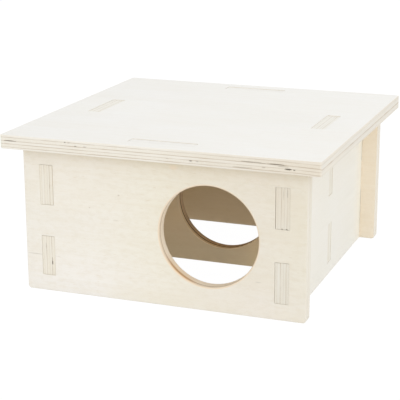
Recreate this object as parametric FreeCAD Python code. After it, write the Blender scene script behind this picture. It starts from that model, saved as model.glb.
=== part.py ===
import FreeCAD, Part
import math
import os

# Knock-down two-chamber hamster house: six plywood boards that plug together dry.
# +Z up, -Y is the entrance side, origin on the ground under the middle of the roof.

V = FreeCAD.Vector

# ---- Boards -----------------------------------------------------------------
board = 10.6                  # thickness of the roof and of the side walls
cross_board = 9.8             # thickness of the front wall, back wall and partition
wall_height = 113.8           # ground to the underside of the roof
front_length = 225.0          # length of the front and back walls
house_depth = 225.0           # over the outer faces of the front and back walls
side_setback = 13.3           # end of a front wall to the outer face of a side wall
foot_corner_r = 2.5           # rounding of the lower corners of the end walls
roof_overhang = 12.6          # roof past the end walls, all round
roof_corner_r = 2.0
edge_round = 0.5              # sanding of the roof and of the end walls' outline
rim_chamfer = 0.9             # sanding of both rims of each round hole

# ---- Joints -----------------------------------------------------------------
outer_gap = 0.2               # end wall slot to the outer face of the tab in it
inner_gap = 0.35              # end wall slot to the inner face of the same tab
divider_gap = 0.3             # side wall slot to each face of a partition tab
roof_gap = 0.3                # roof slot to each face of a wall's top tab
end_gap = 0.25                # any slot to each end of its tab
tab_recess = 0.25             # a wall tab stops this far short of the outer face
roof_tab_recess = 0.35        # a top tab stops this far below the roof's top
corner_tab_height = 31.3      # side wall tabs, two at each end of the board
corner_tab_low_z = 12.65
corner_tab_high_z = 69.15
divider_tab_height = 32.3     # partition tabs, two at each end of the board
divider_tab_low_z = 10.05
divider_tab_high_z = 66.05
end_top_tab = 52.3            # length of the top tabs on the front and back walls
side_top_tab = 50.3           # length of the top tabs on the side walls

# ---- Holes ------------------------------------------------------------------
entrance_d = 77.4
entrance_x = 37.3
entrance_z = 57.4
passage_d = 79.8
passage_x = 11.4
passage_z = 53.2

# ---- Places -----------------------------------------------------------------
partition_mid_y = 0.0
roof_half_x = front_length / 2 + roof_overhang
roof_half_y = house_depth / 2 + roof_overhang
front_y = -house_depth / 2
back_y = house_depth / 2 - cross_board
side_x = front_length / 2 - side_setback
inner_side_x = side_x - board
inner_front_y = front_y + cross_board
partition_y = partition_mid_y - cross_board / 2
corner_tabs = [(z, z + corner_tab_height) for z in (corner_tab_low_z, corner_tab_high_z)]
divider_tabs = [(z, z + divider_tab_height) for z in (divider_tab_low_z, divider_tab_high_z)]
end_top_span = (-end_top_tab / 2, end_top_tab / 2)
side_top_span = (-side_top_tab / 2, side_top_tab / 2)
TOLERANCE = 1e-3


def widened(span, low_gap, high_gap):
    """A span of a tab, grown to the span of its slot."""
    return span[0] - low_gap, span[1] + high_gap


def notched(line, tabs, reach):
    """Profile points up a board's edge at u = line, stepping out by reach along each tab."""
    points = []
    for low, high in tabs:
        points += [(line, low), (line + reach, low), (line + reach, high), (line, high)]
    return points


def board_profile(half_length, side_tabs, side_reach, top_span, top_reach):
    """Closed profile of an upright board, (u, v) with u level and v up from the ground."""
    right = [(half_length, 0.0)] + notched(half_length, side_tabs, side_reach)
    top = [(half_length, wall_height)]
    if top_span:
        low, high = top_span
        top += [(high, wall_height), (high, wall_height + top_reach)]
        top += [(low, wall_height + top_reach), (low, wall_height)]
    top.append((-half_length, wall_height))
    left = [(-u, v) for u, v in reversed(right)]
    return right + top + left


def upright(points, along, start):
    """Extrude a (u, v) profile into a board whose length runs along "X" or "Y"."""
    if along == "X":
        corners = [V(u, start, v) for u, v in points]
        through = V(0, cross_board, 0)
    else:
        corners = [V(start, u, v) for u, v in points]
        through = V(board, 0, 0)
    return Part.Face(Part.makePolygon(corners + corners[:1])).extrude(through)


def block(x_span, y_span, z_span):
    """A square cutter between three pairs of limits."""
    size = [span[1] - span[0] for span in (x_span, y_span, z_span)]
    return Part.makeBox(*size, V(x_span[0], y_span[0], z_span[0]))


def rounded(shape, radius, wanted):
    """Fillet the edges that a test on their bounding boxes picks out."""
    return shape.makeFillet(radius, [edge for edge in shape.Edges if wanted(edge.BoundBox)])


def end_wall(y):
    """Front or back wall: top tab, four slots for the side walls, soft lower corners."""
    half = front_length / 2
    profile = board_profile(half, [], 0.0, end_top_span, board - roof_tab_recess)
    wall = upright(profile, "X", y)
    low_corners = rounded(wall, foot_corner_r,
                          lambda b: b.YLength > cross_board - TOLERANCE and b.ZMax < TOLERANCE)
    slots = []
    for z_span in corner_tabs:
        z_slot = widened(z_span, end_gap, end_gap)
        right = widened((inner_side_x, side_x), inner_gap, outer_gap)
        for x_slot in (right, (-right[1], -right[0])):
            slots.append(block(x_slot, (y, y + cross_board), z_slot))
    return low_corners.cut(slots)


def sanded_outline(wall):
    """Round the feet and both ends of an end wall, leaving the edge under the roof square."""
    half = front_length / 2 - foot_corner_r - TOLERANCE

    def on_outline(b):
        outer = b.XMin < -half or b.XMax > half or b.ZMax < TOLERANCE
        return b.YLength < TOLERANCE and outer and b.ZMin < wall_height - TOLERANCE
    return rounded(wall, edge_round, on_outline)


def with_hole(wall, diameter, x, y, z):
    """Bore a round hole through a board that faces -Y at y, and ease both its rims."""
    wall = wall.cut(Part.makeCylinder(diameter / 2, cross_board, V(x, y, z), V(0, 1, 0)))
    rims = [edge for edge in wall.Edges if edge.BoundBox.YLength < TOLERANCE
            and abs(edge.Length - math.pi * diameter) < TOLERANCE]
    return wall.makeChamfer(rim_chamfer, rims)


def front_wall():
    """End wall with the entrance hole."""
    wall = sanded_outline(end_wall(front_y))
    return with_hole(wall, entrance_d, entrance_x, front_y, entrance_z)


def back_wall():
    """Plain end wall."""
    return sanded_outline(end_wall(back_y))


def side_wall(x):
    """Side wall: two tabs at each end, a top tab and two slots for the partition."""
    profile = board_profile(-inner_front_y, corner_tabs, cross_board - tab_recess,
                            side_top_span, board - roof_tab_recess)
    wall = upright(profile, "Y", x)
    y_slot = widened((partition_y, partition_y + cross_board), divider_gap, divider_gap)
    slots = [block((x, x + board), y_slot, widened(z_span, end_gap, end_gap))
             for z_span in divider_tabs]
    return wall.cut(slots)


def partition():
    """Board between the two chambers: two tabs at each end and the passage hole."""
    profile = board_profile(inner_side_x, divider_tabs, board - tab_recess, None, 0.0)
    wall = upright(profile, "X", partition_y)
    return with_hole(wall, passage_d, passage_x, partition_y, passage_z)


def roof():
    """Lift-off roof: a slot over each wall's top tab, rounded corners and edges."""
    z_span = (wall_height, wall_height + board)
    panel = block((-roof_half_x, roof_half_x), (-roof_half_y, roof_half_y), z_span)
    panel = rounded(panel, roof_corner_r, lambda b: b.ZLength > board - TOLERANCE)
    panel = rounded(panel, edge_round, lambda b: b.ZLength < TOLERANCE)
    slots = []
    for y in (front_y, back_y):
        slots.append(block(widened(end_top_span, end_gap, end_gap),
                           widened((y, y + cross_board), roof_gap, roof_gap), z_span))
    for x in (-side_x, inner_side_x):
        slots.append(block(widened((x, x + board), roof_gap, roof_gap),
                           widened(side_top_span, end_gap, end_gap), z_span))
    return panel.cut(slots)


def main():
    os.makedirs("parts", exist_ok=True)
    pieces = {
        "front_wall": front_wall(),
        "back_wall": back_wall(),
        "left_wall": side_wall(-side_x),
        "right_wall": side_wall(inner_side_x),
        "partition": partition(),
        "roof": roof(),
    }
    for name, shape in pieces.items():
        shape.exportStep(f"parts/{name}.step")
        print(name, len(shape.Solids), round(shape.Volume), shape.isValid())


main()
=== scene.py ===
import math

import bmesh
import bpy
from mathutils import Matrix, Vector
from mathutils.geometry import tessellate_polygon


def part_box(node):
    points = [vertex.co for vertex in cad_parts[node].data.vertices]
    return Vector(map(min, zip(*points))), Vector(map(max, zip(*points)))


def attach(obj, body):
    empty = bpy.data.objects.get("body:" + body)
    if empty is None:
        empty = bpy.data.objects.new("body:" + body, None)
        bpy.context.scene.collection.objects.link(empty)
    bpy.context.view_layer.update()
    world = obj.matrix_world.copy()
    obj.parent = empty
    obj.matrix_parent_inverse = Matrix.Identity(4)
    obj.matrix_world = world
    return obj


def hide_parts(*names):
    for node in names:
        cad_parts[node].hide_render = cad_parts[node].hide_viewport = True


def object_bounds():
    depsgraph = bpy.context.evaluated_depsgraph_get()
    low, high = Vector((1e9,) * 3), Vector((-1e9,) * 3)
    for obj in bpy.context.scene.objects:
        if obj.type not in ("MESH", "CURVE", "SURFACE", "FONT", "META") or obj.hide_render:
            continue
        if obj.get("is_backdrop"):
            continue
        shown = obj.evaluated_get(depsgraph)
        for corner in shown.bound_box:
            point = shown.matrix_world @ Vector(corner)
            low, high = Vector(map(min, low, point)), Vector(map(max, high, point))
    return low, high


# Dressing of the knock-down plywood hamster house. Each flat CAD board is replaced by a
# board of the same outline with worked edges: eased arrises, glue lines between its five
# plies and the small hollows that cheap plywood shows where it is sawn.

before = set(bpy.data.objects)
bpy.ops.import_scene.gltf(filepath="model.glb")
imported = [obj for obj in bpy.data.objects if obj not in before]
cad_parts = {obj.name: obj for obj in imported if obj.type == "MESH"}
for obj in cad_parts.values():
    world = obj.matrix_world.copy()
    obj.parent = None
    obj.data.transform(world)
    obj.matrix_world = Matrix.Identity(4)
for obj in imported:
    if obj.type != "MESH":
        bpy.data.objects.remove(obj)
cad_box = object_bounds()

MM = 0.001

# ---- Boards: axes along the face grain, across it and through the plies ---------
X, Y, Z = 0, 1, 2
BOARD_AXES = {
    "roof": (X, Y, Z),
    "front_wall": (X, Z, Y),
    "back_wall": (X, Z, Y),
    "partition": (X, Z, Y),
    "left_wall": (Y, Z, X),
    "right_wall": (Y, Z, X),
}
BODY_OF = {node: "roof" if node == "roof" else "walls" for node in BOARD_AXES}
SEED_OF = {node: 3.7 * (i + 1) for i, node in enumerate(BOARD_AXES)}
FACE_KIND, EDGE_KIND, BORE_KIND = 0, 1, 2   # order of a board's materials

# ---- Worked edges ---------------------------------------------------------------
ARRIS = {"roof": 0.45 * MM, "front_wall": 0.45 * MM, "back_wall": 0.45 * MM,
         "left_wall": 0.12 * MM, "right_wall": 0.12 * MM, "partition": 0.12 * MM}
HOLE_ARRIS = {"front_wall": 1.2 * MM, "partition": 0.8 * MM}   # both rims of a round hole
TOP_TAB_ARRIS = 0.12 * MM                 # of the tabs that stand in the roof
SLOT_ARRIS = 0.1 * MM
ARRIS_TURNS, HOLE_TURNS, SLOT_TURNS = 3, 6, 1   # rows of faces round each kind of arris
TAB_CORNER = 0.4 * MM                     # rounding of a tab's corners in plan
DIVIDER_CORNER = 0.15 * MM                # the same on the partition
SLOT_CORNER = 0.5 * MM                    # left by the cutter inside each slot
CORNER_TURNS = 4                          # straight pieces of such a corner
CORNER_TURN = math.radians(50)            # change of direction that makes a corner
CREASE = math.radians(38)                 # angle between two faces that shows as a crease
EDGE_STEP = 4.0 * MM                      # spacing of an edge's points along the board
EDGE_ROW = 2.0 * MM                       # spacing of an edge's points through the board
HOLLOW_ROW = 0.35 * MM                    # the same on a board with hollows
HOLLOW_STEP = 0.5 * MM                    # spacing along the board beside a hollow
HOLLOW_NEAR = 0.5 * MM                    # a hollow this near to an edge lies on it
HOLLOW_LEAST = 0.4                        # height of a hollow's tips, as a share of its own
GRID = 0.1                                # mm: an edge's points lie on whole steps of this,
GRID_CLEAR = 3                            # and this many steps away from its ends
HOLE_STEPS = 176                          # points round a hole
HOLE_LEAST = 16                           # points of a CAD loop that can be a round hole,
HOLE_ERROR = 0.2 * MM                     # all as far from its middle within this
WELD, CUT_ERROR = 1e-6, 1e-7              # m: CAD points that are one, and points in a cut
STRAIGHT = 1e-3                           # sine of the least bend that counts as one

# How far the sides of each slot draw in towards its tab, in mm: low u, high u, low v and
# high v side. A slot goes by the side of the board's middle that it is on, along u and v,
# where 0 is within SLOT_MIDDLE of the half length from it. Each amount is less than the gap
# in the CAD, and a negative one draws out.
SLOT_MIDDLE = 0.2
SLOT_DRAW = {
    "front_wall": {(-1, -1): (0.10, 0.20, 0.23, -0.06), (1, -1): (0.20, 0.18, 0.23, -0.06),
                   (-1, 1): (0.19, 0.00, 0.20, 0.02), (1, 1): (0.05, 0.12, 0.22, 0.20)},
    "back_wall": {(-1, -1): (0.10, 0.00, 0.20, 0.00), (1, -1): (0.00, 0.10, 0.20, 0.00),
                  (-1, 1): (0.10, 0.00, 0.20, 0.00), (1, 1): (0.00, 0.10, 0.20, 0.00)},
    "left_wall": {(0, -1): (0.05, 0.22, 0.23, 0.10), (0, 1): (0.05, 0.26, 0.23, 0.13)},
    "right_wall": {(0, -1): (0.00, 0.22, 0.23, 0.10), (0, 1): (0.00, 0.26, 0.23, 0.13)},
    "roof": {(-1, 0): (0.10, 0.00, 0.10, 0.15), (1, 0): (0.27, 0.10, 0.10, 0.20),
             (0, -1): (0.20, 0.10, 0.10, 0.10), (0, 1): (0.10, 0.10, 0.10, 0.10)},
}

# Glue lines seen on edge: height through the board from its low side, and strength. The
# roof's left and right edges have their own, as do the insides of the round holes.
GLUE_LINES = {
    "roof": ((0.151, 1.0), (0.377, 0.80), (0.594, 1.0), (0.844, 0.70)),
    "roof_end": ((0.20, 0.10), (0.38, 0.10), (0.53, 0.9), (0.88, 0.20)),
    "front_wall": ((0.13, 0.20), (0.36, 1.0), (0.62, 0.25), (0.84, 0.35)),
    "back_wall": ((0.14, 0.35), (0.38, 0.9), (0.60, 0.4), (0.86, 0.6)),
    "partition": ((0.13, 0.3), (0.34, 1.0), (0.62, 0.2), (0.85, 0.15)),
    "left_wall": ((0.14, 0.25), (0.34, 0.8), (0.59, 0.3), (0.76, 0.9)),
    "right_wall": ((0.16, 0.3), (0.39, 0.9), (0.62, 0.35), (0.80, 0.9)),
}
BORE_LINES = {
    "front_wall": ((0.235, 0.55), (0.60, 0.05), (0.84, 0.05)),
    "partition": ((0.34, 1.0), (0.62, 0.35), (0.85, 0.4)),
}
LINE_HALF = {"roof": 0.022, "roof_end": 0.032}   # half width of a line, as a share of the board
PLAIN_LINE_HALF = 0.016                   # the same on the other boards
BORE_LINE_HALF = 0.048                    # the same in a round hole
LINE_FOOT, LINE_TOP = 1.8, 0.6            # half widths to a line's end and to its full strength
PLY_WAVER = 0.05                          # how far the plies waver, as a share of the board
ROOF_PLY_RISE = ((0.095, 0.0), (0.125, 0.06))   # climb of the roof's plies towards +X, by x in m

# Hollows along the edges: (u, v, height through the board, length, height, depth, darkness of
# the painted shade in it), in mm, but the height through the board as a share of it.
HOLLOWS = {
    "roof": (
        (-116.5, -125.1, 0.60, 10.5, 0.9, 0.5, 0.70),
        (-70.7, -125.1, 0.84, 1.4, 0.8, 0.4, 0.80),
        (-67.6, -125.1, 0.83, 2.0, 0.6, 0.3, 0.55),
        (-62.2, -125.1, 0.62, 2.4, 1.0, 0.4, 0.40),
        (-54.8, -125.1, 0.63, 3.2, 0.9, 0.4, 0.30),
        (10.5, -125.1, 0.33, 1.8, 0.7, 0.3, 0.25),
        (28.6, -125.1, 0.33, 2.2, 0.9, 0.7, 0.75),
        (33.6, -125.1, 0.33, 2.4, 0.7, 0.4, 0.40),
        (74.0, -125.1, 0.62, 16.0, 0.8, 0.5, 0.42),
        (81.5, -125.1, 0.60, 7.0, 0.6, 0.4, 0.35),
        (92.0, -125.1, 0.60, 13.0, 1.0, 0.6, 0.60),
        (97.5, -125.1, 0.50, 8.0, 0.5, 0.4, 0.40),
        (67.5, -125.1, 0.20, 15.0, 0.8, 0.3, 0.32),
        (83.2, -125.1, 0.34, 3.0, 0.6, 0.4, 0.35),
        (101.0, -125.1, 0.34, 5.4, 1.1, 0.9, 0.95),
        (105.4, -125.1, 0.33, 2.0, 0.8, 0.7, 0.80),
        (125.1, -37.4, 0.45, 2.6, 0.8, 0.6, 0.70),
    ),
    "left_wall": (
        (-112.25, 22.8, 0.775, 3.4, 0.9, 0.5, 0.95),
        (-112.25, 25.2, 0.77, 5.5, 0.8, 0.3, 0.35),
        (-112.25, 36.0, 0.30, 5.0, 0.5, 0.3, 0.25),
        (-112.25, 84.0, 0.75, 4.0, 0.5, 0.3, 0.25),
    ),
    "right_wall": (
        (-112.25, 69.2, 0.465, 1.0, 1.5, 0.4, 0.50),
        (-112.25, 69.2, 0.78, 1.1, 2.0, 0.5, 0.75),
        (-112.25, 95.1, 0.53, 8.0, 1.1, 0.05, 0.14),
        (-112.25, 96.1, 0.806, 6.0, 1.2, 0.05, 0.20),
    ),
}

# ---- Colours, as they show under plain light, some with painted light and shade ----
FACE = {                                  # the outward faces
    "roof": (0.832, 0.826, 0.800),
    "front_wall": (0.864, 0.829, 0.762),
    "back_wall": (0.844, 0.804, 0.722),
    # The partition stands inside the house: its colour is painted shade, darker and warmer than
    # the veneer.
    "partition": (0.786, 0.660, 0.464),
    "left_wall": (0.850, 0.808, 0.716),
    "right_wall": (0.820, 0.804, 0.752),
}
EDGE = {                                  # the cut edges
    "roof": (0.870, 0.837, 0.762),
    "front_wall": (0.794, 0.761, 0.682),
    "back_wall": (0.810, 0.773, 0.694),
    "partition": (0.794, 0.774, 0.704),
    "left_wall": (0.843, 0.804, 0.715),
    "right_wall": (0.777, 0.745, 0.665),
}
ROOF_END = (0.848, 0.846, 0.816)          # the roof's left and right edges, sawn across
# Painted shade of the house's inside: its faces darker and warmer than the same veneer outside.
# Outside the side walls, painted shade with the warm light bounced off the side wall.
INNER_PAINTED_SHADE = (0.840, 0.690, 0.468)             # faces that look into the house
MARGIN_PAINTED_SHADE = (0.830, 0.742, 0.606)            # the same faces outside the side walls
INNER_SIDE = {"front_wall": 1, "back_wall": -1, "left_wall": 1, "right_wall": -1, "roof": -1,
              "partition": 0}             # which way along the board's thickness that is
TAB_TOP = {                               # tops of the tabs that stand in the roof
    "front_wall": (0.808, 0.793, 0.755),
    "back_wall": (0.812, 0.798, 0.760),
    "left_wall": (0.800, 0.777, 0.712),
    "right_wall": (0.800, 0.777, 0.712),
}
TOP_LINES = {"left_wall": 1.0, "right_wall": 0.9}   # how far glue lines show on these tops,
PLAIN_TOP_LINES = 0.3                     # and on the tops of the other boards' tabs
GLUE = (0.530, 0.440, 0.335)
# Painted shade that darkens the hollows.
PAINTED_HOLLOW_SHADE = (0.070, 0.050, 0.036)

# The inside of a round hole, from the front on: the eased lip, the first ply behind it,
# the glue lines and the plies between them.
BORE_LIP = {"front_wall": (0.835, 0.710, 0.550), "partition": (0.862, 0.727, 0.518)}
BORE_RIM = {"front_wall": (0.745, 0.640, 0.495), "partition": (0.862, 0.727, 0.518)}
BORE_GLUE = {"front_wall": (0.260, 0.130, 0.055), "partition": (0.100, 0.050, 0.025)}
# The front wall's entry is painted light: brighter than wood gets, red at full.
BORE = {"front_wall": (1.000, 0.918, 0.775), "partition": (0.800, 0.640, 0.455)}

# How far the first two of these show: the lip by the share of the board's thickness, the
# first ply by the share beyond the first glue line.
LIP_FADE = ((0.03, 1.0), (0.07, 0.0))
RIM_FADE = ((-0.14, 1.0), (-0.08, 0.0))

# Painted light and shade, as a slow change of a face's tone: (share of its length or height,
# factor of the colour), along the grain and then across it. The front wall darker towards its
# right end and under the eaves and lighter near its foot, the partition lit in one band and
# darker near its foot, the right wall in painted shade beside the front wall and lit towards its
# back corner. The same across the grain inside a round hole, painted light towards the foot of
# the partition's, and for the roof's edges by x in metres, darker towards +X.
PAINTED_LIGHT_RAMPS = {
    "front_wall": (
        ((0.25, (1.000, 1.000, 1.000)), (0.50, (0.966, 0.957, 0.905)),
         (0.85, (0.934, 0.916, 0.885)), (0.98, (0.912, 0.898, 0.852))),
        ((0.16, (1.000, 1.000, 1.000)), (0.30, (0.982, 0.977, 0.950)),
         (0.85, (0.982, 0.977, 0.950)), (0.89, (0.932, 0.919, 0.874)))),
    "partition": (
        ((0.55, (1.000, 1.000, 1.000)), (0.62, (1.050, 1.050, 1.045)),
         (0.65, (1.100, 1.100, 1.090)), (0.69, (1.210, 1.210, 1.180)),
         (0.80, (1.050, 1.050, 1.050))),
        ((0.09, (0.932, 0.942, 0.928)), (0.21, (0.985, 0.982, 0.975)),
         (0.33, (1.040, 1.035, 1.015)), (0.50, (1.000, 1.000, 1.000)))),
    "right_wall": (
        ((0.08, (0.960, 0.962, 0.965)), (0.28, (1.000, 1.000, 1.000)),
         (0.40, (0.988, 0.989, 0.982)), (0.60, (1.000, 1.000, 1.000)),
         (0.77, (1.003, 1.005, 1.005)), (0.84, (1.025, 1.035, 1.035)),
         (0.90, (1.070, 1.070, 1.060)), (0.94, (1.130, 1.135, 1.110))),
        ((0.15, (0.986, 0.987, 0.984)), (0.45, (0.991, 0.992, 0.990)),
         (0.68, (1.006, 1.008, 1.005)), (0.80, (1.000, 1.000, 1.000)))),
}
BORE_PAINTED_LIGHT = {"partition": ((0.13, (1.15, 1.15, 1.17)), (0.28, (1.00, 1.00, 1.00)))}
ROOF_EDGE_DRIFT = ((0.0, (0.98, 0.98, 0.98)), (0.04, (0.93, 0.92, 0.905)),
                   (0.115, (0.90, 0.865, 0.82)))

# Marks on the faces and edges, soft ellipses: (u, v, half length, half height, strength,
# colour), in mm.
GREY, PIN, WARM = (0.60, 0.56, 0.48), (0.45, 0.36, 0.26), (0.86, 0.70, 0.52)
SPOT_CORE = 0.25                          # share of its reach over which a mark is full
MARKS = {
    "front_wall": (
        (-33.8, 82.4, 1.2, 0.9, 0.45, PIN),
        (-58.0, 70.6, 1.0, 0.8, 0.35, PIN),
        (-36.5, 62.6, 3.2, 0.8, 0.30, GREY),
        (76.0, 27.3, 3.6, 0.6, 0.60, GREY),
        (-105.2, 28.8, 9.5, 0.55, 0.72, GREY),
        (-94.0, 28.7, 7.0, 0.5, 0.25, GREY),
        (-86.0, 28.7, 3.0, 0.5, 0.30, GREY),
        (10.6, 107.8, 5.0, 2.6, 0.40, WARM),
    ),
}
EDGE_MARKS = {"right_wall": ((-112.25, 86.0, 6.0, 22.0, 0.35, (0.734, 0.640, 0.508)),)}

# Painted light on a round hole's plies, a brighter and redder patch: (u, v, half length, half
# height, strength), in mm. Its colours away from the first glue line and beside it, and the fade
# between them by the share of the board's thickness beyond that line.
BORE_LIT_PATCH = {"front_wall": (14.0, 27.0, 19.0, 19.0, 0.95)}
PATCH_WOOD = (1.000, 0.860, 0.670)
PATCH_RIM = (0.800, 0.540, 0.310)
PATCH_FADE = ((-0.20, 0.0), (-0.16, 1.0), (0.12, 1.0), (0.26, 0.0))

# ---- Grain ---------------------------------------------------------------------------
# Each noise: scale along the grain, across it and through the board, per metre, then its
# detail, roughness and distortion.
NOISE = {
    "clouds": ((14.0, 32.0, 160.0), 2.0, 0.5, 0.4),
    "streaks": ((7.0, 420.0, 300.0), 4.0, 0.6, 0.0),
    "fibres": ((60.0, 2600.0, 900.0), 2.0, 0.6, 0.0),
    "flecks": ((170.0, 330.0, 300.0), 3.0, 0.65, 0.0),
    "pores": ((190.0, 2300.0, 900.0), 1.0, 0.5, 0.0),
    "waver": ((26.0, 26.0, 60.0), 3.0, 0.6, 0.0),
    "end_pores": ((900.0, 900.0, 1500.0), 2.0, 0.6, 0.0),
    "edge_fibres": ((45.0, 45.0, 1900.0), 3.0, 0.6, 0.0),
    "edge_patches": ((22.0, 22.0, 220.0), 2.0, 0.5, 0.0),
    "line_breaks": ((48.0, 48.0, 300.0), 3.0, 0.65, 0.0),
    "bore_patches": ((30.0, 30.0, 120.0), 3.0, 0.6, 0.0),
    "bore_grain": ((300.0, 300.0, 1800.0), 3.0, 0.6, 0.0),
}
# What a noise does to a colour: the noise at which it starts and at which it is full, its
# share there and the factor of the colour.
STAIN = {
    "streaks": (0.42, 0.75, 0.30, (0.94, 0.90, 0.83)),
    "flecks": (0.45, 0.70, 0.35, (0.93, 0.905, 0.86)),
    "pores": (0.70, 0.82, 0.45, (0.80, 0.70, 0.58)),
    "edge_grain": (0.35, 0.75, 0.8, (0.92, 0.89, 0.83)),
    "edge_patches": (0.50, 0.75, 0.5, (0.92, 0.89, 0.83)),
    "bore_patches": (0.35, 0.70, 1.0, (0.99, 0.95, 0.90)),
    "bore_grain": (0.40, 0.80, 0.5, (0.95, 0.92, 0.88)),
}
# How strong a face's clouds, flecks and pores are, where not 1.
CALM = {"roof": 0.5, "left_wall": 0.5, "right_wall": 0.4, "front_wall": 1.5}
CLOUD_SPAN = (0.30, 0.70)                 # noise from a face's darker to its lighter clouds
CLOUD_DARK, CLOUD_LIGHT = (0.985, 0.975, 0.955), (1.01, 1.015, 1.03)
END_GRAIN = 0.25                          # how much of the edge's stain end grain takes
LINE_BREAK = ((0.30, 0.25), (0.62, 1.0))  # strength of a glue line by noise
# Roughness by noise, and relief as a distance in metres and a strength.
ROUGH = {"face": ((0.3, 0.56), (0.7, 0.68)), "edge": ((0.0, 0.64), (1.0, 0.80)),
         "bore": ((0.0, 0.66), (1.0, 0.82))}
RELIEF = {"face": (0.00004, 0.5), "edge": (0.00008, 0.6), "bore": (0.00008, 0.6)}
STREAK_RELIEF = 0.6                       # height of the streaks against that of the fibres
# Where the noise of each surface starts: what is added to the board's seed, and the share
# of the sum that each axis takes.
SHIFT = {"face": (0.0, (1.0, 1.7, 0.6)), "edge": (11.0, (1.0, 1.3, 0.4)),
         "bore": (23.0, (1.0, 1.3, 0.4))}

# ---- Camera and light ----------------------------------------------------------------
CAMERA_AT = (0.343417, -0.938637, 0.338175)
CAMERA_AIM = (-0.01002, -0.00379, 0.05197)
CAMERA_ROLL = math.radians(-0.17)
CAMERA_LENS, CAMERA_SENSOR = 113.81, 36.0
CAMERA_CLIP = (0.01, 100.0)
FLOOR_SIZE = 12.0
FLOOR_DROP = 0.1 * MM                     # below the boards' lower edges
FLOOR_ALBEDO = 0.53
FLOOR_GLOW = 0.33                         # light that comes up through the floor's own white
FLOOR_WHITE = 1.04                        # the white that the camera sees
FLOOR_SHINE = 0.93                        # share of that white, which takes no shadow
SKY_SIDE, SKY_TOP = 0.92, 1.08            # strength of the world at the horizon and above
SKY_TOP_FROM = 0.8                        # upward part of the direction where the top starts
SOFTBOX_TURN = 50.0                       # degrees right of the front
SOFTBOX_RISE = 12.0                       # degrees over the horizon
SOFTBOX_AWAY = 3.0
SOFTBOX_SIZE = 2.06
SOFTBOX_POWER = 21.0                      # watts


# ---- Outlines read from the frame --------------------------------------------------
def section(node):
    """Closed outlines of a board halfway through its thickness, as lists of (u, v) points."""
    u, v, w = BOARD_AXES[node]
    low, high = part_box(node)
    normal = Vector((0.0, 0.0, 0.0))
    normal[w] = 1.0
    bm = bmesh.new()
    bm.from_mesh(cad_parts[node].data)
    bmesh.ops.remove_doubles(bm, verts=bm.verts, dist=WELD)
    cut = bmesh.ops.bisect_plane(bm, geom=bm.verts[:] + bm.edges[:] + bm.faces[:],
                                 dist=CUT_ERROR, plane_co=(low + high) / 2,
                                 plane_no=normal)["geom_cut"]
    # A dictionary, unlike a set, keeps its order, so that every run starts from the same edge.
    left = dict.fromkeys(item for item in cut if isinstance(item, bmesh.types.BMEdge))
    loops = []
    while left:
        start, here = left.popitem()[0].verts
        loop = [start]
        while here is not start:
            loop.append(here)
            edge = next(e for e in here.link_edges if e in left)
            del left[edge]
            here = edge.other_vert(here)
        loops.append([Vector((vert.co[u], vert.co[v])) for vert in loop])
    bm.free()
    return loops


def area(loop):
    """Signed area of a closed loop, positive anticlockwise."""
    return sum(p.cross(loop[(i + 1) % len(loop)]) for i, p in enumerate(loop)) / 2


def without_straights(loop):
    """The loop without the points that lie along its straight runs."""
    kept = []
    for i, p in enumerate(loop):
        before, after = p - loop[i - 1], loop[(i + 1) % len(loop)] - p
        if abs(before.cross(after)) > STRAIGHT * before.length * after.length:
            kept.append(p)
    return kept


def middle_of(loop):
    """The middle of the rectangle round a loop."""
    low = Vector((min(p.x for p in loop), min(p.y for p in loop)))
    high = Vector((max(p.x for p in loop), max(p.y for p in loop)))
    return (low + high) / 2


def circle_of(loop):
    """(centre, radius) of a loop that is a circle, otherwise None."""
    centre = middle_of(loop)
    reach = [(p - centre).length for p in loop]
    if len(loop) < HOLE_LEAST or max(reach) - min(reach) > HOLE_ERROR:
        return None
    return centre, max(reach)


def circle(centre, radius, steps):
    """Points round a circle, clockwise."""
    turns = (-2 * math.pi * i / steps for i in range(steps))
    return [centre + radius * Vector((math.cos(t), math.sin(t))) for t in turns]


def eased(loop, convex, concave):
    """The loop with each sharp corner replaced by an arc of the radius for its kind."""
    out = []
    for i, p in enumerate(loop):
        before = (p - loop[i - 1]).normalized()
        after = (loop[(i + 1) % len(loop)] - p).normalized()
        turn = math.atan2(before.cross(after), before.dot(after))
        radius = convex if turn > 0 else concave
        if abs(turn) < CORNER_TURN or not radius:
            out.append(p)
            continue
        start = p - before * radius * math.tan(abs(turn) / 2)
        centre = start + Vector((-before.y, before.x)) * math.copysign(radius, turn)
        spoke = start - centre
        out += [centre + Matrix.Rotation(turn * k / CORNER_TURNS, 2) @ spoke
                for k in range(CORNER_TURNS + 1)]
    return out


def snug(loop, node):
    """A slot's outline, drawn in towards the tab that fills it."""
    middle = middle_of(loop)
    low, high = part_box(node)
    side = []
    for at, axis in zip(middle, BOARD_AXES[node]):
        share = 2 * (at - low[axis]) / (high[axis] - low[axis]) - 1
        side.append((share > SLOT_MIDDLE) - (share < -SLOT_MIDDLE))
    draw = [amount * MM for amount in SLOT_DRAW[node][tuple(side)]]
    out = []
    for p in loop:
        step = (draw[0] if p.x < middle.x else -draw[1], draw[2] if p.y < middle.y else -draw[3])
        out.append(p + Vector(step))
    return out


def stations(loop, hollows):
    """Points round a loop, each with the step that leads into the board at right angles."""
    sides = []
    for i, p in enumerate(loop):
        run = (loop[(i + 1) % len(loop)] - p).normalized()
        sides.append(Vector((-run.y, run.x)))
    out = []
    for i, p in enumerate(loop):
        both = sides[i - 1] + sides[i]
        out.append((p, both * 2 / both.length_squared))
        run = loop[(i + 1) % len(loop)] - p
        marks = cuts_along(p, run, hollows)
        out += [(p + run.normalized() * mark, sides[i]) for mark in marks]
    return out


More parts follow.
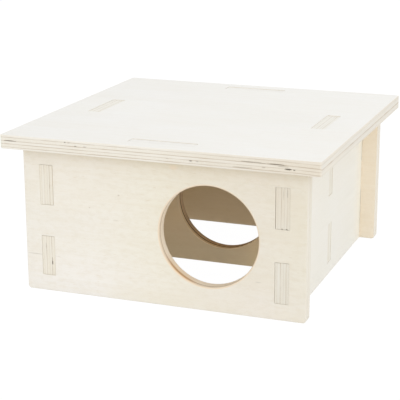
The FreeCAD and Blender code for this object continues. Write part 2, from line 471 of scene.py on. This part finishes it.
def cuts_along(start, run, hollows):
    """Distances along a straight run at which to divide it: evenly, and closely by a hollow."""
    length, way = run.length, run.normalized()
    count = max(1, round(length / EDGE_STEP))
    marks = {round(length * k / count / (GRID * MM)) for k in range(1, count)}
    for hollow in hollows:
        centre = Vector(hollow[:2]) * MM - start
        if abs(way.cross(centre)) > HOLLOW_NEAR:
            continue
        reach = hollow[3] / 2 * MM + HOLLOW_STEP
        for k in range(int(2 * reach / HOLLOW_STEP) + 1):
            marks.add(round((way.dot(centre) - reach + k * HOLLOW_STEP) / (GRID * MM)))
    last = length / (GRID * MM) - GRID_CLEAR
    return [mark * GRID * MM for mark in sorted(marks) if GRID_CLEAR < mark < last]


# ---- Board mesh --------------------------------------------------------------------
def edge_rows(thick, arris, spacing, turns):
    """(height, inset) of the rows of points through a board's edge, low side first."""
    angles = [math.pi / 2 * k / turns for k in range(turns + 1)]
    rows = [(arris * (1 - math.cos(a)), arris * (1 - math.sin(a))) for a in angles]
    rows += [(thick - h, inset) for h, inset in rows]
    flat = thick - 2 * arris
    count = max(1, round(flat / spacing))
    return sorted(rows + [(arris + flat * k / count, 0.0) for k in range(1, count)])


def sunk(point, height, thick, hollows):
    """(depth, darkness of painted shade) that the hollows near it give to a point of an edge.

    A hollow is full over the middle half of its height and tapers towards its two tips.
    """
    depth_here = dark_here = 0.0
    for u, v, level, length, tall, depth, dark in hollows:
        away = point - Vector((u, v)) * MM
        along = 2 * away.length / (length * MM)
        if along > 1.0:
            continue
        lens = (1 - along ** 2) ** 0.5
        share = abs(height - thick * level) / (tall / 2 * MM * max(lens, HOLLOW_LEAST))
        if share < 1:
            fade = min(1.0, 2.0 * (1 - share)) * lens ** 0.5
            depth_here = max(depth_here, depth * MM * fade)
            dark_here = max(dark_here, dark * fade)
    return depth_here, dark_here


def side_strip(mesh, loop, rows, low, place, hollows, kind, crisp=None):
    """Adds the edge surface round one loop and returns its two rims.

    Where crisp is given as (height, factor), the rows' insets are scaled by the factor above
    that height.
    """
    thick = rows[-1][0]
    first = len(mesh["verts"])
    ring = stations(loop, hollows)
    for height, inset in rows:
        for point, inward in ring:
            depth, dark = sunk(point, height, thick, hollows)
            reach = inset * crisp[1] if crisp and point.y > crisp[0] else inset
            mesh["verts"].append(place(point + inward * (reach + depth), low + height))
            mesh["dark"].append(dark)
    count = len(ring)
    for j in range(len(rows) - 1):
        for i in range(count):
            a, b = j * count + i, j * count + (i + 1) % count
            mesh["faces"].append([first + k for k in (a, b, b + count, a + count)])
            mesh["kinds"].append(kind)
    top = first + (len(rows) - 1) * count
    return list(range(first, first + count)), list(range(top, top + count))


def cap(mesh, rims, w):
    """Fills a board's face between the rims of its outline, slots and holes."""
    flat = []
    for rim in rims:
        corners = [mesh["verts"][k].copy() for k in rim]
        for corner in corners:
            corner[w] = 0.0
        flat.append(corners)
    order = [k for rim in rims for k in rim]
    for triangle in tessellate_polygon(flat):
        mesh["faces"].append([order[k] for k in triangle])
        mesh["kinds"].append(FACE_KIND)


def board_mesh(node):
    """Vertices, faces and the material of each face for one board."""
    u, v, w = BOARD_AXES[node]
    low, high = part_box(node)
    thick = high[w] - low[w]

    def place(point, height):
        at = Vector((0.0, 0.0, 0.0))
        at[u], at[v], at[w] = point.x, point.y, height
        return at

    mesh = {"verts": [], "dark": [], "faces": [], "kinds": []}
    hollows = HOLLOWS.get(node, ())
    spacing = HOLLOW_ROW if hollows else EDGE_ROW
    loops = sorted((without_straights(p) for p in section(node)), key=lambda p: -abs(area(p)))
    low_rims, high_rims = [], []
    for i, loop in enumerate(loops):
        outer, ring = i == 0, circle_of(loop)
        if (area(loop) > 0) != outer:
            loop.reverse()
        if ring:
            loop, kind = circle(*ring, HOLE_STEPS), BORE_KIND
            rows = edge_rows(thick, HOLE_ARRIS[node], EDGE_ROW, HOLE_TURNS)
        elif outer:
            corner = DIVIDER_CORNER if node == "partition" else TAB_CORNER
            loop, kind = eased(loop, corner, 0.0), EDGE_KIND
            rows = edge_rows(thick, ARRIS[node], spacing, ARRIS_TURNS)
        else:
            loop, kind = eased(snug(loop, node), SLOT_CORNER, SLOT_CORNER), EDGE_KIND
            rows = edge_rows(thick, SLOT_ARRIS, thick, SLOT_TURNS)
        crisp = None
        if outer and node != "roof":
            crisp = (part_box("roof")[0].z + MM, TOP_TAB_ARRIS / ARRIS[node])
        rims = side_strip(mesh, loop, rows, low[w], place, hollows if outer else (), kind, crisp)
        low_rims.append(rims[0])
        high_rims.append(rims[1])
    cap(mesh, low_rims, w)
    cap(mesh, high_rims, w)
    return mesh


def even_caps(bm):
    """Turns the edges inside a board's flat faces by their angles, so that fewer of their
    triangles lack an area.
    """
    caps = [face for face in bm.faces if face.material_index == FACE_KIND]
    inner = [edge for edge in bm.edges
             if all(face.material_index == FACE_KIND for face in edge.link_faces)]
    bmesh.ops.beautify_fill(bm, faces=caps, edges=inner, method="ANGLE")


def add_board(node, materials):
    """Adds the dressed board that stands for a CAD board."""
    made = board_mesh(node)
    data = bpy.data.meshes.new(node + "_board")
    data.from_pydata(made["verts"], [], made["faces"])
    for material in materials:
        data.materials.append(material)
    data.polygons.foreach_set("material_index", made["kinds"])
    data.attributes.new("dark", "FLOAT", "POINT").data.foreach_set("value", made["dark"])
    bm = bmesh.new()
    bm.from_mesh(data)
    bmesh.ops.recalc_face_normals(bm, faces=bm.faces)
    even_caps(bm)
    for face in bm.faces:
        face.smooth = face.material_index != FACE_KIND
    bm.to_mesh(data)
    bm.free()
    data.set_sharp_from_angle(angle=CREASE)
    board = bpy.data.objects.new(node + "_board", data)
    bpy.context.scene.collection.objects.link(board)
    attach(board, BODY_OF[node])
    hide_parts(node)


# ---- Node helpers --------------------------------------------------------------------
class Tree:
    """A material's node tree with short ways to add and join nodes."""

    def __init__(self, name):
        self.material = bpy.data.materials.new(name)
        self.material.use_nodes = True
        self.nodes = self.material.node_tree.nodes
        self.links = self.material.node_tree.links
        self.shader = self.nodes["Principled BSDF"]

    def set(self, socket, value):
        """Joins a socket to another one, or gives it a plain value."""
        if isinstance(value, bpy.types.NodeSocket):
            self.links.new(value, socket)
        else:
            socket.default_value = value

    def math(self, operation, *values, clamp=False):
        """The result of a sum on sockets or numbers."""
        node = self.nodes.new("ShaderNodeMath")
        node.operation, node.use_clamp = operation, clamp
        for socket, value in zip(node.inputs, values):
            self.set(socket, value)
        return node.outputs[0]

    def vector(self, x, y, z):
        """Three sockets or numbers as one vector."""
        node = self.nodes.new("ShaderNodeCombineXYZ")
        for socket, value in zip(node.inputs, (x, y, z)):
            self.set(socket, value)
        return node.outputs[0]

    def scaled(self, vector, scale, shift):
        """A vector scaled along each axis and then moved."""
        node = self.nodes.new("ShaderNodeVectorMath")
        node.operation = "MULTIPLY_ADD"
        self.set(node.inputs[0], vector)
        node.inputs[1].default_value, node.inputs[2].default_value = scale, shift
        return node.outputs[0]

    def noise(self, name, place, shift):
        """One of the noises named in NOISE, at a place on the board."""
        scale, detail, rough, distort = NOISE[name]
        node = self.nodes.new("ShaderNodeTexNoise")
        self.set(node.inputs["Vector"], self.scaled(place, scale, shift))
        node.inputs["Scale"].default_value = 1.0
        node.inputs["Detail"].default_value = detail
        node.inputs["Roughness"].default_value = rough
        node.inputs["Distortion"].default_value = distort
        return node.outputs[0]

    def ramp(self, value, stops, smooth="LINEAR"):
        """A colour or share that follows a value from stop to stop."""
        node = self.nodes.new("ShaderNodeValToRGB")
        node.color_ramp.interpolation = smooth
        elements = node.color_ramp.elements
        while len(elements) < len(stops):
            elements.new(0.5)
        for element, (at, shade) in zip(elements, stops):
            element.position = at
            colour = shade if isinstance(shade, tuple) else (shade,) * 3
            element.color = (*colour, 1.0)
        self.set(node.inputs[0], value)
        return node.outputs[0]

    def mix(self, share, first, second, blend="MIX"):
        """The first colour, with a share of the second one mixed in."""
        node = self.nodes.new("ShaderNodeMix")
        node.data_type, node.blend_type = "RGBA", blend
        for name, value in (("Factor_Float", share), ("A_Color", first), ("B_Color", second)):
            socket = next(s for s in node.inputs if s.identifier == name)
            self.set(socket, (*value, 1.0) if isinstance(value, tuple) else value)
        return next(s for s in node.outputs if s.identifier == "Result_Color")

    def bump(self, height, distance, strength):
        """Lets a height show as relief on the surface."""
        node = self.nodes.new("ShaderNodeBump")
        node.inputs["Strength"].default_value = strength
        node.inputs["Distance"].default_value = distance
        self.set(node.inputs["Height"], height)
        self.links.new(node.outputs[0], self.shader.inputs["Normal"])

    def place_xyz(self):
        """Object-space place as three sockets."""
        coords = self.nodes.new("ShaderNodeTexCoord")
        split = self.nodes.new("ShaderNodeSeparateXYZ")
        self.links.new(coords.outputs["Object"], split.inputs[0])
        return split.outputs

    def board_place(self, node):
        """Object-space place as a vector: along the grain, across it, through the board."""
        xyz = self.place_xyz()
        return self.vector(*(xyz[axis] for axis in BOARD_AXES[node]))

    def attribute(self, name):
        """A value stored with the mesh."""
        node = self.nodes.new("ShaderNodeAttribute")
        node.attribute_name = name
        return node.outputs["Fac"]

    def spot(self, place, u, v, half_u, half_v, strength):
        """A soft-edged ellipse on a board's face."""
        scale = (1 / (half_u * MM), 1 / (half_v * MM), 0.0)
        local = self.scaled(place, scale, (-u * MM * scale[0], -v * MM * scale[1], 0.0))
        node = self.nodes.new("ShaderNodeVectorMath")
        node.operation = "LENGTH"
        self.set(node.inputs[0], local)
        return self.ramp(node.outputs["Value"], [(SPOT_CORE, strength), (1.0, 0.0)], "EASE")

    def facing(self, axis):
        """The part of the surface's direction that points along an axis of the object."""
        coords = self.nodes.new("ShaderNodeTexCoord")
        split = self.nodes.new("ShaderNodeSeparateXYZ")
        self.links.new(coords.outputs["Normal"], split.inputs[0])
        return split.outputs[axis]


# ---- Materials -----------------------------------------------------------------------
def times(colour, factors):
    """A colour with each channel scaled, none of them above 1."""
    return tuple(min(1.0, c * f) for c, f in zip(colour, factors))


def ratio(colour, base):
    """The factors that turn the base colour into the other one."""
    return tuple(c / b for c, b in zip(colour, base))


def shift_of(node, surface):
    """Where the noise of a board's surface starts, so that no two look alike."""
    extra, shares = SHIFT[surface]
    return tuple((SEED_OF[node] + extra) * share for share in shares)


def stained(tree, name, noise, tone, colour, strength=1.0):
    """A tone with the stain of that name where the noise is high."""
    start, full, share, factors = STAIN[name]
    return tree.mix(tree.ramp(noise, [(start, 0.0), (full, share * strength)]), tone,
                    times(colour, factors))


def across_board(tree, node, axis):
    """Place along one of a board's axes, from 0 at its low end to 1 at its high end."""
    low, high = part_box(node)
    place = tree.math("SUBTRACT", tree.place_xyz()[axis], low[axis])
    return tree.math("DIVIDE", place, high[axis] - low[axis])


def finished(tree, surface, tone, rough, height):
    """Puts a surface's colour, roughness and relief on its shader."""
    tree.set(tree.shader.inputs["Base Color"], tone)
    tree.set(tree.shader.inputs["Roughness"], tree.ramp(rough, ROUGH[surface]))
    tree.bump(height, *RELIEF[surface])
    return tree.material


def inside_painted_shade(tree, node, tone):
    """Painted shade on the face that looks into the house: a darker, warmer copy of the veneer,
    less so outside the side walls.
    """
    facing = tree.facing(BOARD_AXES[node][2])
    inward = tree.math("GREATER_THAN", tree.math("MULTIPLY", facing, INNER_SIDE[node]), 0.0)
    warm, pale = (tree.mix(1.0, tone, ratio(colour, FACE[node]), "MULTIPLY")
                  for colour in (INNER_PAINTED_SHADE, MARGIN_PAINTED_SHADE))
    if node in ("front_wall", "back_wall"):
        away = tree.math("ABSOLUTE", tree.place_xyz()[X])
        beyond = tree.math("GREATER_THAN", away, -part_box("left_wall")[1].x + MM)
        warm = tree.mix(beyond, warm, pale)
    return tree.mix(inward, tone, warm)


def face_veneer(node):
    """Sanded poplar veneer: cream, with faint streaks, clouds and short dark pores, and on some
    faces painted light and shade.
    """
    tree = Tree(node + "_veneer")
    colour, calm = FACE[node], CALM.get(node, 1.0)
    place, shift = tree.board_place(node), shift_of(node, "face")
    clouds, streaks, fibres, flecks, pores = (
        tree.noise(name, place, shift)
        for name in ("clouds", "streaks", "fibres", "flecks", "pores"))
    tone = tree.mix(tree.ramp(clouds, [(CLOUD_SPAN[0], 0.0), (CLOUD_SPAN[1], calm)]),
                    times(colour, CLOUD_DARK), times(colour, CLOUD_LIGHT))
    tone = stained(tree, "streaks", streaks, tone, colour, min(calm, 1.0))
    tone = stained(tree, "flecks", flecks, tone, colour, calm)
    tone = stained(tree, "pores", pores, tone, colour, calm)
    # Painted light and shade: the face's tone scaled by a ramp along each axis.
    for axis, stops in zip(BOARD_AXES[node], PAINTED_LIGHT_RAMPS.get(node, ())):
        share = across_board(tree, node, axis)
        tone = tree.mix(1.0, tone, tree.ramp(share, stops), "MULTIPLY")
    # Painted shade on the faces that look into the house.
    if INNER_SIDE[node]:
        tone = inside_painted_shade(tree, node, tone)
    for mark in MARKS.get(node, ()):
        tone = tree.mix(tree.spot(place, *mark[:5]), tone, mark[5])
    height = tree.math("ADD", tree.math("MULTIPLY", streaks, STREAK_RELIEF), fibres)
    return finished(tree, "face", tone, streaks, height)


def ply_level(tree, node):
    """Height through the board from 0 to 1, wavering a little as the plies do."""
    waver = tree.noise("waver", tree.board_place(node), shift_of(node, "edge"))
    waver = tree.math("MULTIPLY", tree.math("SUBTRACT", waver, 0.5), PLY_WAVER)
    level = tree.math("ADD", across_board(tree, node, BOARD_AXES[node][2]), waver)
    if node == "roof":
        level = tree.math("ADD", level, tree.ramp(tree.place_xyz()[X], ROOF_PLY_RISE))
    return level


def ply_ramps(tree, lines, level, half):
    """Glue lines, and the share of crossed plies, at a height through the board."""
    foot, top = LINE_FOOT * half, LINE_TOP * half
    line_stops, cross_stops = [(0.0, 0.0)], [(0.0, 0.0)]
    for i, (line, strength) in enumerate(lines):
        line_stops += [(line - foot, 0.0), (line - top, strength),
                       (line + top, strength), (line + foot, 0.0)]
        cross_stops += [(line - half, i % 2 * 1.0), (line + half, (i + 1) % 2 * 1.0)]
    return tree.ramp(level, line_stops), tree.ramp(level, cross_stops)


def end_grain_of(tree, crossed, ends):
    """Share of end grain: crossed plies show it on a long edge, all others on an end."""
    both = tree.math("MULTIPLY", tree.math("MULTIPLY", crossed, ends), 2.0)
    return tree.math("SUBTRACT", tree.math("ADD", crossed, ends), both, clamp=True)


def ply_edge(node):
    """Five plies seen on edge, with glue lines that waver and come and go."""
    tree = Tree(node + "_edge")
    colour = EDGE[node]
    place, shift = tree.board_place(node), shift_of(node, "edge")
    level = ply_level(tree, node)
    half = LINE_HALF.get(node, PLAIN_LINE_HALF)
    lines, crossed = ply_ramps(tree, GLUE_LINES[node], level, half)
    along = tree.facing(BOARD_AXES[node][0])
    ends = tree.math("MULTIPLY", along, along, clamp=True)
    if node == "roof":
        end_lines, end_crossed = ply_ramps(tree, GLUE_LINES["roof_end"], level,
                                           LINE_HALF["roof_end"])
        lines, crossed = tree.mix(ends, lines, end_lines), tree.mix(ends, crossed, end_crossed)
    end_grain = end_grain_of(tree, crossed, ends)
    fibres, pores, patches, breaks = (
        tree.noise(name, place, shift)
        for name in ("edge_fibres", "end_pores", "edge_patches", "line_breaks"))
    grain = tree.mix(end_grain, fibres, pores)
    tone = stained(tree, "edge_grain", grain, colour, colour)
    tone = tree.mix(tree.math("MULTIPLY", end_grain, END_GRAIN), tone,
                    times(colour, STAIN["edge_grain"][3]))
    if node == "roof":
        drift = tree.ramp(tree.place_xyz()[X], ROOF_EDGE_DRIFT)
        tone = tree.mix(1.0, tone, drift, "MULTIPLY")
        sawn = tree.mix(1.0, tone, ratio(ROOF_END, colour), "MULTIPLY")
        tone = tree.mix(ends, tone, sawn)
    tone = stained(tree, "edge_patches", patches, tone, colour)
    for mark in EDGE_MARKS.get(node, ()):
        tone = tree.mix(tree.spot(place, *mark[:5]), tone, mark[5])
    share = tree.math("MULTIPLY", lines, tree.ramp(breaks, LINE_BREAK))
    if node in TAB_TOP:
        top = tree.math("GREATER_THAN", tree.place_xyz()[Z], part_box("roof")[0].z)
        tone = tree.mix(top, tone, TAB_TOP[node])
        fade = tree.math("MULTIPLY", top, 1.0 - TOP_LINES.get(node, PLAIN_TOP_LINES))
        share = tree.math("MULTIPLY", share, tree.math("SUBTRACT", 1.0, fade))
    tone = tree.mix(share, tone, GLUE)
    # Painted shade in the hollows, near black where they are deepest.
    tone = tree.mix(tree.attribute("dark"), tone, PAINTED_HOLLOW_SHADE)
    return finished(tree, "edge", tone, end_grain, tree.math("SUBTRACT", grain, lines))


def bore_wood(node):
    """The inside of a round hole: pale sanded rim, dark glue line and warm plies behind it, with
    painted light on them.
    """
    tree = Tree(node + "_bore")
    colour, first = BORE[node], BORE_LINES[node][0][0]
    place, shift = tree.board_place(node), shift_of(node, "bore")
    level = ply_level(tree, node)
    lines, _ = ply_ramps(tree, BORE_LINES[node], level, BORE_LINE_HALF)
    patches, grain = (tree.noise(name, place, shift) for name in ("bore_patches", "bore_grain"))
    tone = stained(tree, "bore_patches", patches, colour, colour)
    tone = stained(tree, "bore_grain", grain, tone, colour)
    rim = tree.ramp(level, [(first + over, share) for over, share in RIM_FADE])
    tone = tree.mix(rim, tone, BORE_RIM[node])
    # Painted light: a brighter, redder patch in the entrance's bore.
    if node in BORE_LIT_PATCH:
        patch = tree.spot(place, *BORE_LIT_PATCH[node])
        band = tree.ramp(level, [(first + over, share) for over, share in PATCH_FADE])
        tone = tree.mix(patch, tone, tree.mix(band, PATCH_WOOD, PATCH_RIM))
    tone = tree.mix(tree.ramp(level, LIP_FADE), tone, BORE_LIP[node])
    # Painted light towards the foot of the partition's hole.
    if node in BORE_PAINTED_LIGHT:
        rise = tree.ramp(across_board(tree, node, BOARD_AXES[node][1]), BORE_PAINTED_LIGHT[node])
        tone = tree.mix(1.0, tone, rise, "MULTIPLY")
    tone = tree.mix(lines, tone, BORE_GLUE[node])
    return finished(tree, "bore", tone, grain, tree.math("SUBTRACT", grain, lines))


# ---- Stage ---------------------------------------------------------------------------
def add_camera():
    """The photograph's viewing angle."""
    data = bpy.data.cameras.new("camera")
    data.lens, data.sensor_width = CAMERA_LENS, CAMERA_SENSOR
    camera = bpy.data.objects.new("camera", data)
    bpy.context.scene.collection.objects.link(camera)
    at = Vector(CAMERA_AT)
    ahead = (Vector(CAMERA_AIM) - at).normalized()
    level = ahead.cross(Vector((0, 0, 1))).normalized()
    rise = level.cross(ahead)
    right = level * math.cos(CAMERA_ROLL) + rise * math.sin(CAMERA_ROLL)
    above = rise * math.cos(CAMERA_ROLL) - level * math.sin(CAMERA_ROLL)
    turn = Matrix((right, above, -ahead)).transposed().to_4x4()
    camera.matrix_world = Matrix.Translation(at) @ turn
    data.clip_start, data.clip_end = CAMERA_CLIP
    bpy.context.scene.camera = camera


def background_share(nodes, links, share):
    """A value of share for camera, glossy and transmission rays and of 0 for all others."""
    path = nodes.new("ShaderNodeLightPath")
    total = path.outputs["Is Camera Ray"]
    for kind in ("Is Glossy Ray", "Is Transmission Ray"):
        either = nodes.new("ShaderNodeMath")
        either.operation = "MAXIMUM"
        links.new(total, either.inputs[0])
        links.new(path.outputs[kind], either.inputs[1])
        total = either.outputs[0]
    part = nodes.new("ShaderNodeMath")
    part.operation = "MULTIPLY"
    part.inputs[1].default_value = share
    links.new(total, part.inputs[0])
    return part.outputs[0]


def add_floor():
    """A plain pale floor that looks white but still takes the object's shadow."""
    half = FLOOR_SIZE / 2
    data = bpy.data.meshes.new("floor")
    data.from_pydata([(-half, -half, 0), (half, -half, 0), (half, half, 0), (-half, half, 0)],
                     [], [(0, 1, 2, 3)])
    floor = bpy.data.objects.new("floor", data)
    floor.location.z = -FLOOR_DROP
    bpy.context.scene.collection.objects.link(floor)
    material = bpy.data.materials.new("floor")
    material.use_nodes = True
    nodes, links = material.node_tree.nodes, material.node_tree.links
    nodes.remove(nodes["Principled BSDF"])
    diffuse, glow, shine = (nodes.new("ShaderNode" + kind)
                            for kind in ("BsdfDiffuse", "Emission", "Emission"))
    lit, both = nodes.new("ShaderNodeAddShader"), nodes.new("ShaderNodeMixShader")
    diffuse.inputs[0].default_value = (FLOOR_ALBEDO, FLOOR_ALBEDO, FLOOR_ALBEDO, 1)
    glow.inputs[0].default_value = shine.inputs[0].default_value = (1, 1, 1, 1)
    glow.inputs[1].default_value, shine.inputs[1].default_value = FLOOR_GLOW, FLOOR_WHITE
    links.new(diffuse.outputs[0], lit.inputs[0])
    links.new(glow.outputs[0], lit.inputs[1])
    links.new(background_share(nodes, links, FLOOR_SHINE), both.inputs[0])
    links.new(lit.outputs[0], both.inputs[1])
    links.new(shine.outputs[0], both.inputs[2])
    links.new(both.outputs[0], nodes["Material Output"].inputs[0])
    data.materials.append(material)
    floor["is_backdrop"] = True


def add_world():
    """White light from all round, a little stronger from above, that looks pure white."""
    world = bpy.data.worlds.new("studio")
    world.use_nodes = True
    nodes, links = world.node_tree.nodes, world.node_tree.links
    coords, split = nodes.new("ShaderNodeTexCoord"), nodes.new("ShaderNodeSeparateXYZ")
    rise = nodes.new("ShaderNodeMapRange")
    links.new(coords.outputs["Generated"], split.inputs[0])
    links.new(split.outputs[2], rise.inputs["Value"])
    for name, value in (("From Min", 0.0), ("From Max", SKY_TOP_FROM),
                        ("To Min", SKY_SIDE), ("To Max", SKY_TOP)):
        rise.inputs[name].default_value = value
    nodes["Background"].inputs[0].default_value = (1, 1, 1, 1)
    white = nodes.new("ShaderNodeMix")
    links.new(background_share(nodes, links, 1.0), white.inputs[0])
    links.new(rise.outputs[0], white.inputs[2])
    white.inputs[3].default_value = 1.0
    links.new(white.outputs[0], nodes["Background"].inputs[1])
    bpy.context.scene.world = world


def add_softbox():
    """One large soft lamp at the front right, low enough to shine under the eaves."""
    data = bpy.data.lights.new("key", "AREA")
    data.shape, data.size, data.energy = "SQUARE", SOFTBOX_SIZE, SOFTBOX_POWER
    lamp = bpy.data.objects.new("key", data)
    turn, rise = math.radians(SOFTBOX_TURN), math.radians(SOFTBOX_RISE)
    away = Vector((math.sin(turn) * math.cos(rise), -math.cos(turn) * math.cos(rise),
                   math.sin(rise)))
    lamp.location = away * SOFTBOX_AWAY
    lamp.rotation_mode = "QUATERNION"
    lamp.rotation_quaternion = away.to_track_quat("Z", "Y")
    lamp.visible_glossy = False
    bpy.context.scene.collection.objects.link(lamp)


def main():
    bpy.context.scene.view_settings.view_transform = "Standard"
    add_camera()
    add_floor()
    add_world()
    add_softbox()
    for node in BOARD_AXES:
        materials = [face_veneer(node), ply_edge(node)]
        if node in BORE:
            materials.append(bore_wood(node))
        add_board(node, materials)
    [[list(corner) for corner in box] for box in (cad_box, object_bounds())]


main()
